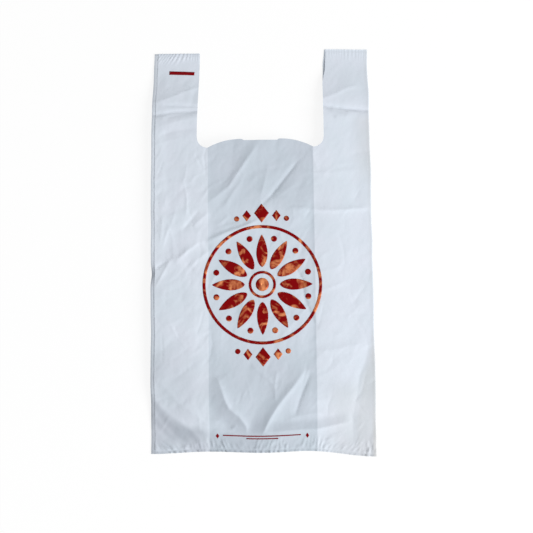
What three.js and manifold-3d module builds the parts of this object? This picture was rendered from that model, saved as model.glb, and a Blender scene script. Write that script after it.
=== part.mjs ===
// Vest-style carrier bag of blown film, lying relaxed on its back panel.
// Millimetres, +Z up, +Y towards the handles; the origin is under the middle of the flat bag.
import * as THREE from "three";
import { mergeVertices } from "three/addons/utils/BufferGeometryUtils.js";
import Module from "manifold-3d";

// The bag as it lies flat.
const FLAT_WIDTH = 254; // outer fold to outer fold
const LENGTH = 472; // lowest corner of the bottom edge to the handle tops
const GUSSET_DEPTH = 66; // how far each side is tucked in
const HANDLE_WIDTH = 53.5; // outer fold to punched edge
const FRONT_SETBACK = 5; // the left front fold lies this far inside the back one
const HANDLE_LEAN = 3; // how far the left handle leans inwards at its top
const HANDLE_DROP = 2; // how far its top lies below the right handle's

// The film and how far its layers stand apart.
const FILM = 0.5; // one layer
const LOFT = 12; // height of the relaxed bag
const FOLD_HEIGHT = 3; // outside height of one springy side fold
const PRESSED_GAP = 0.15; // between layers that a seal presses together
const SPRING_LENGTH = 48; // distance from a seal to the full loft
const SINK_RAMP = 8; // width of the step down from four layers to two

// Heat seals, with a loose skirt of film beyond them.
const SKIRT = 3;
const SEAL_WIDTH = 3;
const HEM_WAVE = 2; // how far the bottom edge wanders
const HEM_SKEW = 5.5; // how far the rest of it lies above its lowest corner

// Gathers that the seals draw into the film.
const GATHER_COUNT = 50; // across the flat width
const GATHER_RISE = 1.3;
const GATHER_REACH = 18;

// The mouth, punched together with the inner edges of the handles.
const MOUTH_LOW = 354; // lowest corner of the bag to the lowest points of the cut
const MOUTH_CROWN = 10; // rise of the cut towards the middle
const TEAR_WIDTH = 44; // straight torn stretch where the bag left its pack
const TEAR_DROP = 1.5;

// How finely the film is divided.
const FRONT_COLUMNS = 36;
const BACK_COLUMNS = 6;
const GUSSET_COLUMNS = 2;
const FOLD_STEPS = 3;
const ROWS = 24;

// Soft creases in the front panel: two ends in plan, reach to either side, and rise.
const CREASES = [
  { from: [-127, 395], to: [-72, 397], reach: 10, rise: -1.1 },
  { from: [-116, 412], to: [-75, 429], reach: 14, rise: 1.1 },
  { from: [77, 413], to: [120, 425], reach: 14, rise: 1.1 },
  { from: [74, 401], to: [127, 395], reach: 10, rise: -1.1 },
  { from: [1, 287], to: [45, 338], reach: 12, rise: -1.8 },
  { from: [-5, 355], to: [-57, 294], reach: 13, rise: 2.1 },
  { from: [-12, 265], to: [-66, 244], reach: 11, rise: 1.7 },
  { from: [-70, 243], to: [-114, 218], reach: 10, rise: 1.1 },
  { from: [36, 282], to: [127, 282], reach: 13, rise: 1.2 },
  { from: [36, 219], to: [58, 150], reach: 13, rise: 1.5 },
  { from: [-51, 89], to: [-22, 32], reach: 13, rise: 1.9 },
  { from: [42, 97], to: [2, 30], reach: 12, rise: 1.7 },
  { from: [54, 91], to: [36, 41], reach: 10, rise: -1.2 },
  { from: [-122, 66], to: [-65, 30], reach: 16, rise: 1.3 },
  { from: [119, 118], to: [101, 30], reach: 14, rise: -1 },
];

const SEAL_END = SKIRT + SEAL_WIDTH;
const GATHER_CREST = (SEAL_END + GATHER_REACH) / 2;
const HALF = FLAT_WIDTH / 2;
const GUSSET_FOLD = HALF - GUSSET_DEPTH;
const CUT = HALF - HANDLE_WIDTH;
const PRESSED_FOLD = 2 * FILM + PRESSED_GAP;
const PRESSED_LOFT = 2 * PRESSED_FOLD + PRESSED_GAP;

// 0 before the start, 1 after the end, smooth between.
function ease(value, start, end) {
  return THREE.MathUtils.smoothstep(value, Math.min(start, end), Math.max(start, end));
}

// How far the layers have sprung apart at a height up the bag: 0 at the seals, 1 between them.
function spring(y) {
  const fromBottom = ease(y, SEAL_END, SEAL_END + SPRING_LENGTH);
  const fromTop = 1 - ease(y, LENGTH - SEAL_END - SPRING_LENGTH, LENGTH - SEAL_END);
  return Math.min(fromBottom, fromTop);
}

function foldHeight(y) {
  return THREE.MathUtils.lerp(PRESSED_FOLD, FOLD_HEIGHT, spring(y));
}

function loft(y) {
  return THREE.MathUtils.lerp(PRESSED_LOFT, LOFT, spring(y));
}

// A tent along a line from end to end, fading out at both ends.
function creaseAt(crease, x, y) {
  const line = new THREE.Line3(
    new THREE.Vector3(crease.from[0], crease.from[1], 0),
    new THREE.Vector3(crease.to[0], crease.to[1], 0),
  );
  const point = new THREE.Vector3(x, y, 0);
  const along = line.closestPointToPointParameter(point, true);
  const away = line.at(along, new THREE.Vector3()).distanceTo(point);
  const fade = 1 - Math.pow(2 * along - 1, 4);
  return crease.rise * Math.max(0, 1 - away / crease.reach) * fade;
}

// Zigzag puckers to either side of a seal, which itself stays flat; no two are of the same height.
function gatherAt(x, y) {
  const fromEdge = Math.min(y, LENGTH - y);
  const inSkirt = Math.max(0, 1 - fromEdge / SKIRT);
  const aboveSeal = Math.max(0, 1 - Math.abs(fromEdge - GATHER_CREST) / (GATHER_REACH - GATHER_CREST));
  const turn = ((x + HALF) * GATHER_COUNT) / FLAT_WIDTH;
  const zigzag = Math.abs(2 * (turn - Math.floor(turn)) - 1);
  const unevenness = 0.75 + 0.25 * Math.sin(2.4 * Math.round(turn));
  return GATHER_RISE * unevenness * zigzag * (0.6 * inSkirt + aboveSeal);
}

// Between the gussets the front lies lower by the two layers that it hasn't below it.
function sinkAt(x) {
  const middle = THREE.MathUtils.clamp((GUSSET_FOLD - Math.abs(x)) / SINK_RAMP, 0, 1);
  return (PRESSED_LOFT - PRESSED_FOLD) * middle;
}

// Height of the front panel's outer surface.
function frontAt(x, y) {
  let z = loft(y) - sinkAt(x) + gatherAt(x, y);
  for (const crease of CREASES) {
    z += creaseAt(crease, x, y) * spring(y);
  }
  return z;
}

// How far the bottom edge is drawn up, dying out up the bag.
function hemAt(x, y) {
  const wave = Math.pow(Math.sin((2 * Math.PI * (x + HALF)) / FLAT_WIDTH), 2);
  const skew = ease(HALF - x, 0, 0.7 * HALF);
  return (HEM_WAVE * wave + HEM_SKEW * skew) * (1 - ease(y, 0, LENGTH / 4));
}

// How far along the left handle a point lies: 0 at the mouth, 1 at the handle's top.
function alongLeftHandle(x, y) {
  return x < 0 ? ease(y, MOUTH_LOW + MOUTH_CROWN, LENGTH) : 0;
}

// The film's section across the bag at one height: a ring of points with the two faces of the film.
function sectionRing(y, frontColumns) {
  const ring = [];
  const height = foldHeight(y);
  const top = loft(y);
  const radius = height / 2;
  const gap = top / 2 - height;
  const frontLeft = -HALF + FRONT_SETBACK;
  const backLeft = -HALF;
  const right = HALF;
  let leg = 0;

  function addPoint(share, x, z, normal, isFront) {
    const lift = isFront ? frontAt(x, y) - top : 0;
    ring.push({
      order: leg + share,
      outside: new THREE.Vector3(x, y, z + lift),
      inside: new THREE.Vector3(x - normal.x * FILM, y, z + lift - normal.y * FILM),
    });
  }

  function addPanel(fromX, toX, z, facing, columns, isFront = false) {
    for (let i = 0; i < columns; i += 1) {
      const share = i / columns;
      addPoint(share, THREE.MathUtils.lerp(fromX, toX, share), z, new THREE.Vector2(0, facing), isFront);
    }
    leg += 1;
  }

  // A half turn about a centre; a fold towards the inside of the bag faces its own centre.
  function addFold(x, z, bend, fromAngle, toAngle, facing, liftAtStart = 0, liftAtEnd = 0) {
    for (let i = 0; i < FOLD_STEPS; i += 1) {
      const share = i / FOLD_STEPS;
      const angle = THREE.MathUtils.lerp(fromAngle, toAngle, share);
      const arm = new THREE.Vector2(Math.cos(angle), Math.sin(angle));
      const lift = THREE.MathUtils.lerp(liftAtStart, liftAtEnd, share);
      addPoint(share, x + arm.x * bend, z + arm.y * bend + lift, arm.multiplyScalar(facing), false);
    }
    leg += 1;
  }

  const up = Math.PI / 2;
  const liftRight = frontAt(right - radius, y) - top;
  const liftLeft = frontAt(frontLeft + radius, y) - top;
  addPanel(frontLeft + radius, right - radius, top, 1, frontColumns, true);
  addFold(right - radius, top - radius, radius, up, -up, 1, liftRight, 0);
  addPanel(right - radius, GUSSET_FOLD + gap, top - height, -1, GUSSET_COLUMNS);
  addFold(GUSSET_FOLD + gap, top / 2, gap, up, 3 * up, -1);
  addPanel(GUSSET_FOLD + gap, right - radius, height, 1, GUSSET_COLUMNS);
  addFold(right - radius, radius, radius, up, -up, 1);
  addPanel(right - radius, backLeft + radius, 0, -1, BACK_COLUMNS);
  addFold(backLeft + radius, radius, radius, -up, -3 * up, 1);
  addPanel(backLeft + radius, -GUSSET_FOLD - gap, height, 1, GUSSET_COLUMNS);
  addFold(-GUSSET_FOLD - gap, top / 2, gap, -up, up, -1);
  addPanel(-GUSSET_FOLD - gap, frontLeft + radius, top - height, -1, GUSSET_COLUMNS);
  addFold(frontLeft + radius, top - radius, radius, -up, -3 * up, 1, 0, liftLeft);
  return ring;
}

// Triangles between two rings, which needn't have the same number of points.
function stitch(lower, upper, addFace) {
  const orderOf = (ring, i) => (i < ring.length ? ring[i].order : Infinity);
  let i = 0;
  let j = 0;
  while (i < lower.length || j < upper.length) {
    const lowerNow = lower[i % lower.length];
    const upperNow = upper[j % upper.length];
    const lowerIsNext = i < lower.length && orderOf(lower, i + 1) <= orderOf(upper, j + 1);
    if (lowerIsNext || j >= upper.length) {
      addFace(lowerNow, lower[(i + 1) % lower.length], upperNow);
      i += 1;
    } else {
      addFace(lowerNow, upper[(j + 1) % upper.length], upperNow);
      j += 1;
    }
  }
}

// The film as a closed solid: both faces of every ring, and a rim where the film ends.
function loftRings(rings) {
  const positions = [];
  const faces = [];
  for (const ring of rings) {
    for (const point of ring) {
      point.index = positions.length / 3;
      positions.push(...point.outside.toArray(), ...point.inside.toArray());
    }
  }
  const outside = (p) => p.index;
  const inside = (p) => p.index + 1;
  for (let row = 0; row + 1 < rings.length; row += 1) {
    stitch(rings[row], rings[row + 1], (a, b, c) => {
      faces.push(outside(a), outside(b), outside(c));
      faces.push(inside(a), inside(c), inside(b));
    });
  }
  const first = rings[0];
  const last = rings[rings.length - 1];
  first.forEach((p, i) => {
    const next = first[(i + 1) % first.length];
    faces.push(outside(p), inside(p), outside(next), outside(next), inside(p), inside(next));
  });
  last.forEach((p, i) => {
    const next = last[(i + 1) % last.length];
    faces.push(outside(p), outside(next), inside(p), outside(next), inside(next), inside(p));
  });
  const geometry = new THREE.BufferGeometry();
  geometry.setAttribute("position", new THREE.Float32BufferAttribute(positions, 3));
  geometry.setIndex(faces);
  return geometry;
}

// Rows and columns are close together in the gathers and even between them.
function filmTube() {
  const plainLength = LENGTH - 2 * GATHER_REACH;
  const edgeRows = [
    [0, 2 * GATHER_COUNT],
    [SKIRT, FRONT_COLUMNS],
    [SEAL_END, FRONT_COLUMNS],
    [GATHER_CREST, 2 * GATHER_COUNT],
    [GATHER_REACH, FRONT_COLUMNS],
  ];
  const rings = edgeRows.map(([y, columns]) => sectionRing(y, columns));
  for (let row = 1; row < ROWS; row += 1) {
    rings.push(sectionRing(GATHER_REACH + (plainLength * row) / ROWS, FRONT_COLUMNS));
  }
  for (const [y, columns] of edgeRows.reverse()) {
    rings.push(sectionRing(LENGTH - y, columns));
  }
  return loftRings(rings);
}

// A weld right across the bag, from the middle of the back layer to the middle of the front one.
function sealBar(fromY) {
  const end = HALF - FRONT_SETBACK - PRESSED_FOLD;
  const low = FILM / 2;
  const high = PRESSED_LOFT - FILM / 2;
  const middle = PRESSED_FOLD - FILM / 2;
  const profile = new THREE.Shape();
  profile.moveTo(-end, low);
  profile.lineTo(end, low);
  profile.lineTo(end, high);
  profile.lineTo(GUSSET_FOLD, high);
  profile.lineTo(GUSSET_FOLD - SINK_RAMP, middle);
  profile.lineTo(SINK_RAMP - GUSSET_FOLD, middle);
  profile.lineTo(-GUSSET_FOLD, high);
  profile.lineTo(-end, high);
  const bar = new THREE.ExtrudeGeometry(profile, { depth: SEAL_WIDTH, bevelEnabled: false });
  return bar.rotateX(Math.PI / 2).translate(0, fromY + SEAL_WIDTH, 0);
}

// Everything between the handles and above the mouth.
function mouthPunch() {
  const corner = CUT - GUSSET_FOLD;
  const crown = MOUTH_LOW + MOUTH_CROWN;
  const tear = TEAR_WIDTH / 2;
  const beyond = LENGTH + 20;
  const outline = new THREE.Shape();
  outline.moveTo(-CUT, beyond);
  outline.lineTo(-CUT, MOUTH_LOW + corner);
  outline.absarc(-GUSSET_FOLD, MOUTH_LOW + corner, corner, Math.PI, 1.5 * Math.PI, false);
  outline.bezierCurveTo(-GUSSET_FOLD * 0.8, crown - 3, -GUSSET_FOLD * 0.6, crown - 0.5, -tear - 2, crown);
  outline.lineTo(-tear, crown - TEAR_DROP);
  outline.lineTo(tear, crown - TEAR_DROP);
  outline.lineTo(tear + 2, crown);
  outline.bezierCurveTo(GUSSET_FOLD * 0.6, crown - 0.5, GUSSET_FOLD * 0.8, crown - 3, GUSSET_FOLD, MOUTH_LOW);
  outline.absarc(GUSSET_FOLD, MOUTH_LOW + corner, corner, -0.5 * Math.PI, 0, false);
  outline.lineTo(CUT, beyond);
  const punch = new THREE.ExtrudeGeometry(outline, {
    depth: 4 * LOFT,
    bevelEnabled: false,
    curveSegments: 6,
  });
  return punch.translate(0, 0, -LOFT);
}

const wasm = await Module();
wasm.setup();

function toSolid(geometry) {
  geometry.deleteAttribute("normal");
  geometry.deleteAttribute("uv");
  const merged = mergeVertices(geometry, 1e-5);
  return new wasm.Manifold(
    new wasm.Mesh({
      numProp: 3,
      vertProperties: new Float32Array(merged.attributes.position.array),
      triVerts: new Uint32Array(merged.index.array),
    }),
  );
}

function toGeometry(solid) {
  const mesh = solid.getMesh();
  const geometry = new THREE.BufferGeometry();
  geometry.setAttribute("position", new THREE.Float32BufferAttribute(mesh.vertProperties, 3));
  geometry.setIndex(Array.from(mesh.triVerts));
  return geometry;
}

// Lets the bottom edge wander and the left handle lean and drop, all layers together.
function settle(geometry) {
  const position = geometry.attributes.position;
  for (let i = 0; i < position.count; i += 1) {
    const x = position.getX(i);
    const y = position.getY(i);
    const swing = alongLeftHandle(x, y);
    position.setX(i, x + HANDLE_LEAN * swing);
    position.setY(i, y + hemAt(x, y) - HANDLE_DROP * swing);
  }
  geometry.computeVertexNormals();
  return geometry;
}

const film = toSolid(filmTube())
  .add(toSolid(sealBar(SKIRT)))
  .add(toSolid(sealBar(LENGTH - SEAL_END)))
  .subtract(toSolid(mouthPunch()));

const bag = new THREE.Mesh(
  settle(toGeometry(film)).translate(0, -LENGTH / 2, 0),
  new THREE.MeshStandardMaterial({
    color: 0xd8dfe7,
    roughness: 0.45,
    metalness: 0,
    side: THREE.DoubleSide,
  }),
);
bag.name = "carrier_bag";

const part = new THREE.Group();
part.add(bag);

export default part;
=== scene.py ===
"""A vest-style carrier bag of thin white film, lying on its back with a foil print on its front."""

import math

import bpy
import numpy as np
from mathutils import Matrix, Vector
from mathutils.bvhtree import BVHTree


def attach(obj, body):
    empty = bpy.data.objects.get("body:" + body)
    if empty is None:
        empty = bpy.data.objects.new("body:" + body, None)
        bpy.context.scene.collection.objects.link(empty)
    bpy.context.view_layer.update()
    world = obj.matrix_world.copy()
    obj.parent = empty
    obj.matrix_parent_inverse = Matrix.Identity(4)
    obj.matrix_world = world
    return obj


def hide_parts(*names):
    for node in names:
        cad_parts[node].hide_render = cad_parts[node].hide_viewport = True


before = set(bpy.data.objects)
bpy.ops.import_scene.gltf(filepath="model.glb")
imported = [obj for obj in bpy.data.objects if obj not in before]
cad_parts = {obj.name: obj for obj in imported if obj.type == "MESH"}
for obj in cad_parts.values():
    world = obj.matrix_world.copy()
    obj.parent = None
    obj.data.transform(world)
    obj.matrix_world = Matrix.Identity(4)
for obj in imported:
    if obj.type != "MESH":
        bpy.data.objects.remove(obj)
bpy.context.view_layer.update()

MM = 0.001

# The flat bag in millimetres: x across, y up from its lowest corner, z up from the floor.
FLAT_WIDTH = 254.0
LENGTH = 472.0
GUSSET_DEPTH = 66.0
HANDLE_WIDTH = 53.5
HALF = FLAT_WIDTH / 2
GUSSET_FOLD = HALF - GUSSET_DEPTH
CUT = HALF - HANDLE_WIDTH

# How the folds have settled: the front one lies inside the back one on the left and the other way
# round on the right, both stray a little, and the left one is nipped in so that its inside shows, painted
# dark with shade.
FRONT_SETBACK = 4.2
BACK_TUCK = 1.0
FOLD_STRAY = 0.9
STRAY_LENGTH = 31.0
STRAY_SEED = 8
STRAY_ROW = 40.0
EDGE_NIP = 1.6
NIP_HEIGHT = 208.0
NIP_REACH = 9.0
NIP_RAMP = (HALF - 9.0, HALF - 1.0)

# How the handles have settled: the left one leans in and lies lower, the right one lies higher.
HANDLE_LEAN = 3.0
HANDLE_DROP = 2.0
HANDLE_RISE = 1.5
OUTER_RISE_LOSS = 0.6

# How far the layers stand apart, and how the panels sink and droop towards the sides.
FLOOR_GAP = 0.075
LOFT = 12.0
FOLD_HEIGHT = 3.0
FOLD_BULGE = 0.4
SINK = 0.12
SINK_RAMP = 3.0
EDGE_DROOP = 1.6
LEFT_DROOP = 0.6
LEFT_DROOP_RAMP = (HALF - FRONT_SETBACK - 12.0, HALF - FRONT_SETBACK)

# The left folds: the front one is pressed flat, and the strip of the back one that shows beside it
# has sprung up against it, with a lip along its edge.
LEFT_PRESS = 0.65
LEFT_PRESS_RAMP = (HALF - 25.0, HALF - FRONT_SETBACK)
STRIP_RAMP = (HALF - 22.0, HALF - FRONT_SETBACK)
STRIP_GAP = 0.5
STRIP_LIP = 1.5
STRIP_LIP_RAMP = (HALF - FRONT_SETBACK - 0.5, HALF - 2.0)

# How the seals press the layers together, and how far from the seals these spring apart.
SEAL_END = 5.0
SEAL_GAP = 0.25
PRESSED_FOLD = 0.45
PRESSED_LOFT = 1.3
SPRING_LENGTH = 70.0
TOP_SPRING_LENGTH = 80.0
SLACK_LENGTH = 26.0
CORNER_LAG = 45.0
CORNER_LAG_START = GUSSET_FOLD - 15.0
LAG_SHARE_AT_SEAL = 0.4

# The punched mouth, with a torn stretch in its middle.
MOUTH_LOW = 354.0
MOUTH_CROWN = 10.0
CROWN_POWER = 2.2
TEAR_HALF = 22.0
TEAR_RAMP = 3.0
TEAR_DROP = 1.5
CORNER = CUT - GUSSET_FOLD
HANDLE_START = MOUTH_LOW + CORNER

# How the cut edges of the layers have slipped: the lower layers outwards, and the straps of the right
# handle near its top, over stretches that are measured from that top.
SLIP_RAMP = (MOUTH_LOW - 25.0, HANDLE_START)
LAYER_OFFSET = 1.4
STRAP_SLIP = 2.7
STRAP_SLIP_RAMP = (-43.0, -22.0)
STRAP_RETURN = 0.5
STRAP_RETURN_RAMP = (-17.0, 0.0)
STRAP_DRAW_LOW = 0.87
STRAP_DRAW_LOW_RAMP = (-42.0, -20.0)
STRAP_DRAW_HIGH = 2.03
STRAP_DRAW_HIGH_RAMP = (-20.0, 0.0)

# The bottom edge, drawn up in two waves and lowest at its right end.
HEM_WAVE = 2.0
HEM_SKEW = 5.5
SKEW_WIDTH = 0.7 * HALF
HEM_FADE = LENGTH / 4

# Puckers that the seals draw into the film, above each seal and in the skirt below it.
BOTTOM_SEAL = 3.2
TOP_SEAL = 2.5
GATHER_PITCH = 4.6
TOP_GATHER_PITCH = 3.6
GATHER_REACH = 20.0
TOP_GATHER_REACH = 17.0
GATHER_RISE = 1.4
ABOVE_RAMP = (-1.0, 2.0)
SKIRT_RAMP = (0.8, -0.6)
SKIRT_SHARE = 1.3
SEAL_LINE = 0.25
SEAL_LINE_OUT = 1.0

# Waves that make the lean and the pitch of the puckers uneven: size, length and start of each.
BOTTOM_LEAN = [(0.55, 75.0, 0.0), (0.30, 13.0, 1.0), (0.12, 7.3, 2.0)]
PITCH_SWAY = [(0.45, 11.0, 0.0), (0.30, 5.3, 2.0)]

# Waves of two lengths, multiplied, that make the rise and the reach of the puckers uneven.
SWELL_BASE = 0.65
SWELL_LENGTHS = (7.1, 3.9)
SWELL_START = 0.7
REACH_BASE = 0.9
REACH_SWELL = 0.35
REACH_LENGTHS = (6.1, 17.0)

# The bottom puckers are broken up by blotches, each with a share, a size and a seed, and they run longer
# and lower on the right.
PLEAT_SHARE = 0.55
PLEAT_BASE = 0.25
PLEAT_LIMIT = 1.2
BLOTCHES = [(1.60, 3.4, 31), (1.12, 6.0, 32)]
BLOTCH_STRETCH = 0.5
RIGHT_RAMP = (30.0, 60.0)
RIGHT_LONGER = 0.4
RIGHT_LOWER = 0.25
BOTTOM_SWELL = 0.35

# The top puckers lean outwards on the left handle and are faint on the right one.
TOP_LEAN = -0.7
TOP_LEAN_RAMP = (-HALF + 10.0, -CUT)
TOP_SWELL = 0.15
LEFT_TOP_SHARE = 0.85
RIGHT_TOP_SHARE = 0.35

# How deep each layer of the film lies, from the front panel to the back panel.
FRONT_DEPTH = 0.0
UPPER_GUSSET_DEPTH = 0.2
INNER_FOLD_DEPTH = 0.5
LOWER_GUSSET_DEPTH = 0.8
BACK_DEPTH = 1.0

# The mesh: steps up the bag near the seals and between them, the stretch where rows bend to follow the
# mouth, steps across each layer, points round a fold, a panel's last column and the tucked-in folds.
SEAL_ROWS = 24.0
SEAL_STEP = 1.2
ROW_STEP = 1.65
MOUTH_BLEND = 60.0
FRONT_STEP = 1.05
BEND_STEP = 1.6
GUSSET_STEP = 6.5
BACK_STEP = 8.0
BACK_SIDE_STEP = 9.0
FOLD_POINTS = 6
SIDE = HALF - 1.5
TUCK_ROUND = 3.0
TUCK_COLUMN = GUSSET_FOLD + 2.0
TINY = 1e-6

# Lines that part the shaded hollows of the front panel from the rest of it.
FLAP_LINE = [(-127, 96), (-110, 78), (-97, 61), (-82, 48), (-62, 31), (-43, 26)]
CORNER_LINE = [
    (-125, 68), (-118, 56), (-110, 48), (-102, 41), (-93, 35), (-82, 28), (-61, 24), (-45, 22),
]
PALE_LINE = [(-126, 42), (-117, 30), (-110, 23), (-102, 17), (-92, 11), (-80, 4)]
EDGE_LINE = [(101, 0), (101, 44), (106, 69), (109, 90), (116, 107), (122, 128)]
LEFT_RIDGE = [(-19, 20), (-19, 30), (-27, 42), (-38, 51), (-42, 60), (-46, 73), (-52, 92)]
RIGHT_RIDGE = [(-2, 19), (7, 39), (17, 56), (34, 78), (50, 101)]
LOW_RIDGE = [(11, 24), (46, 25), (62, 26), (80, 32), (101, 39)]

# Creases in the front panel, each a bent line drawn from left to right or upwards,
# how far it reaches to the left and to the right of that way, and its rise.
CREASES = [
    # left handle: the folds of the pack, a slack ridge above them and ripples below
    ([(-136, 392.5), (-97, 398), (-62, 400)], (4, 3.5), -1.9),
    ([(-113, 390), (-92, 394.5), (-70, 399)], (3, 3), -0.8),
    ([(-116, 406.5), (-86, 405), (-62, 403)], (3, 2.5), -1.2),
    ([(-130, 407), (-105, 416), (-90, 423), (-64, 432)], (7, 3.5), 0.8),
    ([(-118, 381), (-95, 386), (-70, 392)], (6, 5), 0.5),
    ([(-118, 369), (-97, 375), (-76, 377)], (5, 5), -0.7),
    ([(-122, 358), (-107, 363), (-90, 366)], (5, 5), 0.5),
    # right handle: the same folds, fanning out from its inner edge
    ([(56, 406.5), (76, 402.5), (87, 400.5), (97, 399), (140, 395.5)], (4.5, 2.8), -2.7),
    ([(70, 403.5), (80, 399), (90, 396), (102, 393)], (2.5, 2.5), -1.1),
    ([(72, 401), (80, 395), (88, 388)], (2.5, 2.5), -0.8),
    ([(66, 407), (89, 417), (100, 423), (118, 428)], (7, 3.5), 0.8),
    # upper middle
    ([(-62, 289), (-52, 297), (-37, 308), (-25, 326), (-3, 358)], (10, 8), 1.9),
    ([(0, 298), (5, 316), (9, 335)], (6, 9), 0.7),
    ([(-44, 283), (-33, 300), (-20, 318)], (4, 6), 0.7),
    ([(-2, 284), (12, 298), (25, 314), (46, 341)], (6, 3.5), -1.6),
    ([(28, 280), (39, 283), (62, 280), (83, 279), (130, 282)], (8, 5), 1.6),
    ([(50, 271), (58, 282)], (2.5, 2.5), -0.5),
    ([(60, 324), (113, 324)], (5, 5), 0.4),
    # the long crease from the middle towards the left edge, and short ones about it
    ([(-64, 244), (-40, 255), (-19, 262), (-1, 270)], (4, 10), 2.3),
    ([(-100, 218), (-95, 226), (-73, 243), (-62, 246)], (6, 2), 0.8),
    ([(-112, 219), (-103, 224), (-90, 229)], (4, 7), 0.6),
    ([(-54, 258), (-38, 263), (-21, 267)], (2.5, 4), 0.7),
    ([(-52, 263), (-36, 275)], (3, 4), 0.7),
    ([(-116, 243), (-113, 276)], (5, 6), 0.6),
    ([(-112, 241), (-106, 268)], (3, 4), 0.45),
    ([(-91, 257), (-82, 268), (-71, 281)], (5, 5), -0.9),
    ([(-79, 262), (-60, 279)], (4, 5), 0.8),
    ([(-98, 219), (-81, 239)], (3, 4), 0.6),
    ([(-82, 216), (-60, 235)], (8, 7), 0.9),
    ([(-121, 215), (-114, 219.5), (-107, 223.5)], (2, 2), -0.9),
    ([(-122, 192), (-112, 210), (-104, 224)], (2.5, 4), 0.7),
    # middle
    ([(62, 143), (55, 162), (48, 180), (47, 199), (33, 224)], (12, 3.5), -1.5),
    ([(-23, 145), (-21, 180)], (7, 14), 1.2),
    ([(-61, 190), (-49, 214)], (4, 5), 0.7),
    # lower middle
    (LEFT_RIDGE, (14, 6), 2.4),
    (RIGHT_RIDGE, (15, 12), 2.8),
    ([(35, 40), (42, 64), (51, 87), (54, 97)], (10, 5), -1.8),
    ([(-13, 104), (7, 87), (13, 77)], (3, 4), 1.0),
    ([(14, 60), (13, 78), (16, 98)], (3, 3), 0.8),
    (LOW_RIDGE, (13, 6), 1.5),
    ([(23, 35), (37, 41), (60, 45), (80, 44)], (6, 4), 0.8),
    ([(-66, 38), (-49, 37), (-40, 35), (-31, 31), (-36, 26), (-58, 24)], (3, 3), 0.9),
    # lower left and lower right
    (FLAP_LINE, (18, 14), 1.4),
    (CORNER_LINE, (10, 16), 0.9),
    ([(60, 118), (89, 122), (118, 128)], (8, 9), 0.9),
    (EDGE_LINE, (14, 24), -1.2),
]

# How a crease falls away: a sharp crest and a broad foot, as shares of its reach, with a rounded top.
CREST_SHARE = 0.45
CREST_REACH = 0.35
FOOT_REACH = 1.1
CREST_ROUND = 0.4
CREST_CUT = 0.6
END_POWER = 4

# Short faint creases strewn over the front panel: how many, with which seed, and the least and most of
# their places and sizes.
STREWN_COUNT = 180
STREWN_SEED = 11
STREWN_ACROSS = (-125, 125)
STREWN_UP = (25, 355)
STREWN_HALF_LENGTH = (6, 22)
STREWN_REACH = (1.3, 3.4)
STREWN_RISE = (0.10, 0.38)

# The mean slant of the strewn creases, its spread, and the spread of their bends.
STREWN_SLANT = 0.9
STREWN_SLANT_SPREAD = 0.8
STREWN_BEND = 2.5

# After how many cells the noise repeats, and by how many it is moved.
NOISE_CELLS = 64
NOISE_SHIFT = 20.0

# Crumple of the whole panel: size of its hills and their rise, all drawn out along one slant.
CRUMPLE = [(60.0, 1.9), (27.0, 0.9), (12.0, 0.4), (6.0, 0.18)]
CRUMPLE_SLANT = math.radians(55)
CRUMPLE_STRETCH = 1.6
CRUMPLE_SEED = 3
CRUMPLE_LEVEL = 0.2
CALM_SHARE = 0.45
CALM_RAMP = (40.0, 75.0)

# Paint on the film: painted shade that darkens it, painted light that brightens it, and painted grey
# shade. A patch has a strength, then where it sets in and dies out across the bag, then the same up the
# bag; None leaves that end open.
# Darker patches: painted shade broad in the lower left and in the puckers above the seal, and dark lines
# along the bottom edge and the left handle's top edge.
BROAD_LOWER_LEFT = (0.38, (None, (-95, -62)), (None, (90, 150)))
ABOVE_SEAL = (0.45, ((-86, -68), (-2, 12)), (None, (18, 28)))
BOTTOM_RIM = (0.9, ((-66, -56), (-12, 4)), (None, (0.5, 2.2)))
LEFT_TOP_RIM = (0.9, (None, (-10, 10)), ((LENGTH - 2.2, LENGTH - 0.5), None))
DARK_PATCHES = [BROAD_LOWER_LEFT, ABOVE_SEAL, BOTTOM_RIM, LEFT_TOP_RIM]
DARKEST = 1.4

# Patches of painted light, where the film is painted brighter: about the print, between the gussets, and at
# the left edge.
ABOUT_PRINT = (0.10, ((-95, -75), (54, 61)), ((90, 145), (270, 310)))
BETWEEN_GUSSETS = (0.26, ((-62, -60), (54, 61)), ((90, 145), (270, 310)))
LEFT_EDGE = (0.26, (None, (-114, -103)), ((190, 225), (360, 385)))
PAINTED_LIGHT_PATCHES = [ABOUT_PRINT, BETWEEN_GUSSETS, LEFT_EDGE]

# Patches of painted grey shade towards the right edge.
GREY_LOWER = (1.0, ((60, 90), None), (None, (115, 150)))
GREY_FRINGE = (0.7, ((62, 92), None), (None, (65, 95)))
GREY_UPPER = (0.7, ((102, 122), None), ((300, 340), (382, 397)))
GREY_RIM = (0.45, ((121.5, 126), None), (None, None))
GREY_LOWER_RIM = (0.6, ((121.5, 126), None), (None, (15, 60)))
GREY_EDGE = (3.0, 8.0)

# Painted shade in the lower left corner: its strength past each line and how softly it sets in before and
# after that line, a patch near the seal, and blotches.
FLAP_SHADE = 0.2
FLAP_EDGE = (4.0, 11.0)
CORNER_SHADE = 0.9
CORNER_EDGE = (5.0, 5.0)
CORNER_PATCH = (0.3, ((-112, -100), (-86, -68)), ((8, 18), (22, 34)))
CORNER_END = (-74, -54)
PALE_SHARE = 0.4
PALE_EDGE = (3.0, 5.0)
BLOTCH_SHARE = 0.5
BLOTCH_SIZE = 9.0
BLOTCH_SEED = 21
BLOTCH_SLANT = 0.8
BLOTCH_SQUEEZE = 0.4
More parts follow.
